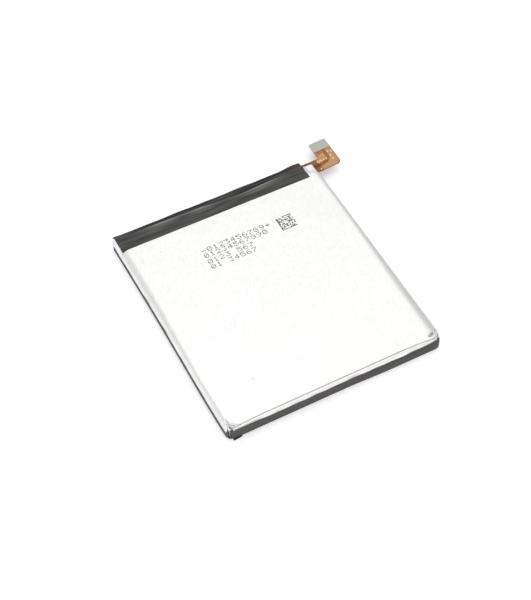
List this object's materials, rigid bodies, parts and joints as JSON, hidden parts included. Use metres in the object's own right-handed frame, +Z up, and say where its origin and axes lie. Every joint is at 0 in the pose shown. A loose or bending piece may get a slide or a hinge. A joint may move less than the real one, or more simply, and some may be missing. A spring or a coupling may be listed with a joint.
{
  "type": "pouch battery cell",
  "caption": "Flat rectangular pouch battery cell with black taped head, folded side seals, black wrap underneath and an L-shaped flexible circuit ending in a board connector.",
  "frame": {"origin": "centre of the label's underside, where the cell is bonded into its bay", "axes": "+Z up from the underside through the lid, +Y towards the taped terrace and the connector, +X to the side where the flexible circuit comes out"},
  "size_m": [0.0679, 0.0744, 0.0049],
  "materials": {
    "laminate": "nylon-faced aluminium laminate film, satin",
    "label_film": "black polyester film, matt",
    "black_tape": "black polyester tape, semi-gloss",
    "anode": "graphite coating on copper foil",
    "cathode": "metal-oxide coating on aluminium foil",
    "separator": "microporous white polyolefin film",
    "clear_tape": "thin clear fixing tape",
    "copper": "bare copper foil",
    "aluminium_foil": "bare aluminium foil",
    "nickel": "nickel strip, rolled",
    "sealant": "polypropylene sealing film",
    "foam": "black closed-cell adhesive foam",
    "board": "glass-epoxy board under green solder mask",
    "chip_body": "black moulded epoxy",
    "capacitor": "tan ceramic chip",
    "resistor": "black glazed ceramic chip",
    "insulator": "amber polyimide sheet",
    "flex": "polyimide coverlay over copper",
    "solder": "tin solder",
    "pad_finish": "flash-gold plated copper",
    "stiffener_steel": "bead-blasted stainless steel",
    "adhesive": "thermoset bonding film",
    "housing": "black glass-filled liquid-crystal polymer",
    "contact_gold": "gold-plated copper alloy"
  },
  "bodies": {
    "cell": {"pouch_cup": "laminate", "pouch_lid": "laminate", "anode_sheets": "anode", "cathode_sheets": "cathode", "separator_ribbon": "separator", "stack_tapes": "clear_tape", "anode_foil_bundle": "copper", "cathode_foil_bundle": "aluminium_foil", "negative_tab": "nickel", "positive_tab": "aluminium_foil", "negative_tab_sealant": "sealant", "positive_tab_sealant": "sealant", "protection_board": "board", "weld_pads": "nickel", "terrace_foam": "foam", "thermal_cutoff": "chip_body", "protection_ic": "chip_body", "dual_mosfet": "chip_body", "sense_resistor": "resistor", "thermistor": "resistor", "chip_capacitors": "capacitor", "chip_resistors": "resistor", "board_insulator": "insulator", "top_tape": "black_tape", "label_wrap": "label_film", "flex_root": "flex", "solder_joints": "solder"},
    "flex_arm_body": {"flex_arm": "flex", "flex_test_pads": "pad_finish"},
    "connector_end": {"flex_tail": "flex", "stiffener_adhesive": "adhesive", "stiffener_plate": "stiffener_steel", "connector_housing": "housing", "connector_signal_contacts": "contact_gold", "connector_power_contacts": "contact_gold"}
  },
  "joints": [
    {"name": "flex_arm_bend", "type": "hinge", "parent": "cell", "child": "flex_arm_body", "pos_m": [0.0308, 0.0344, 0.0028], "axis": [0, -1, 0], "range_deg": [-12, 85], "stiffness_Nm_per_rad": 0.0008},
    {"name": "flex_tail_bend", "type": "hinge", "parent": "flex_arm_body", "child": "connector_end", "pos_m": [0.03534, 0.0382, 0.00312], "axis": [0.9976, 0, 0.0698], "range_deg": [-10, 85], "stiffness_Nm_per_rad": 0.0008}
  ]
}
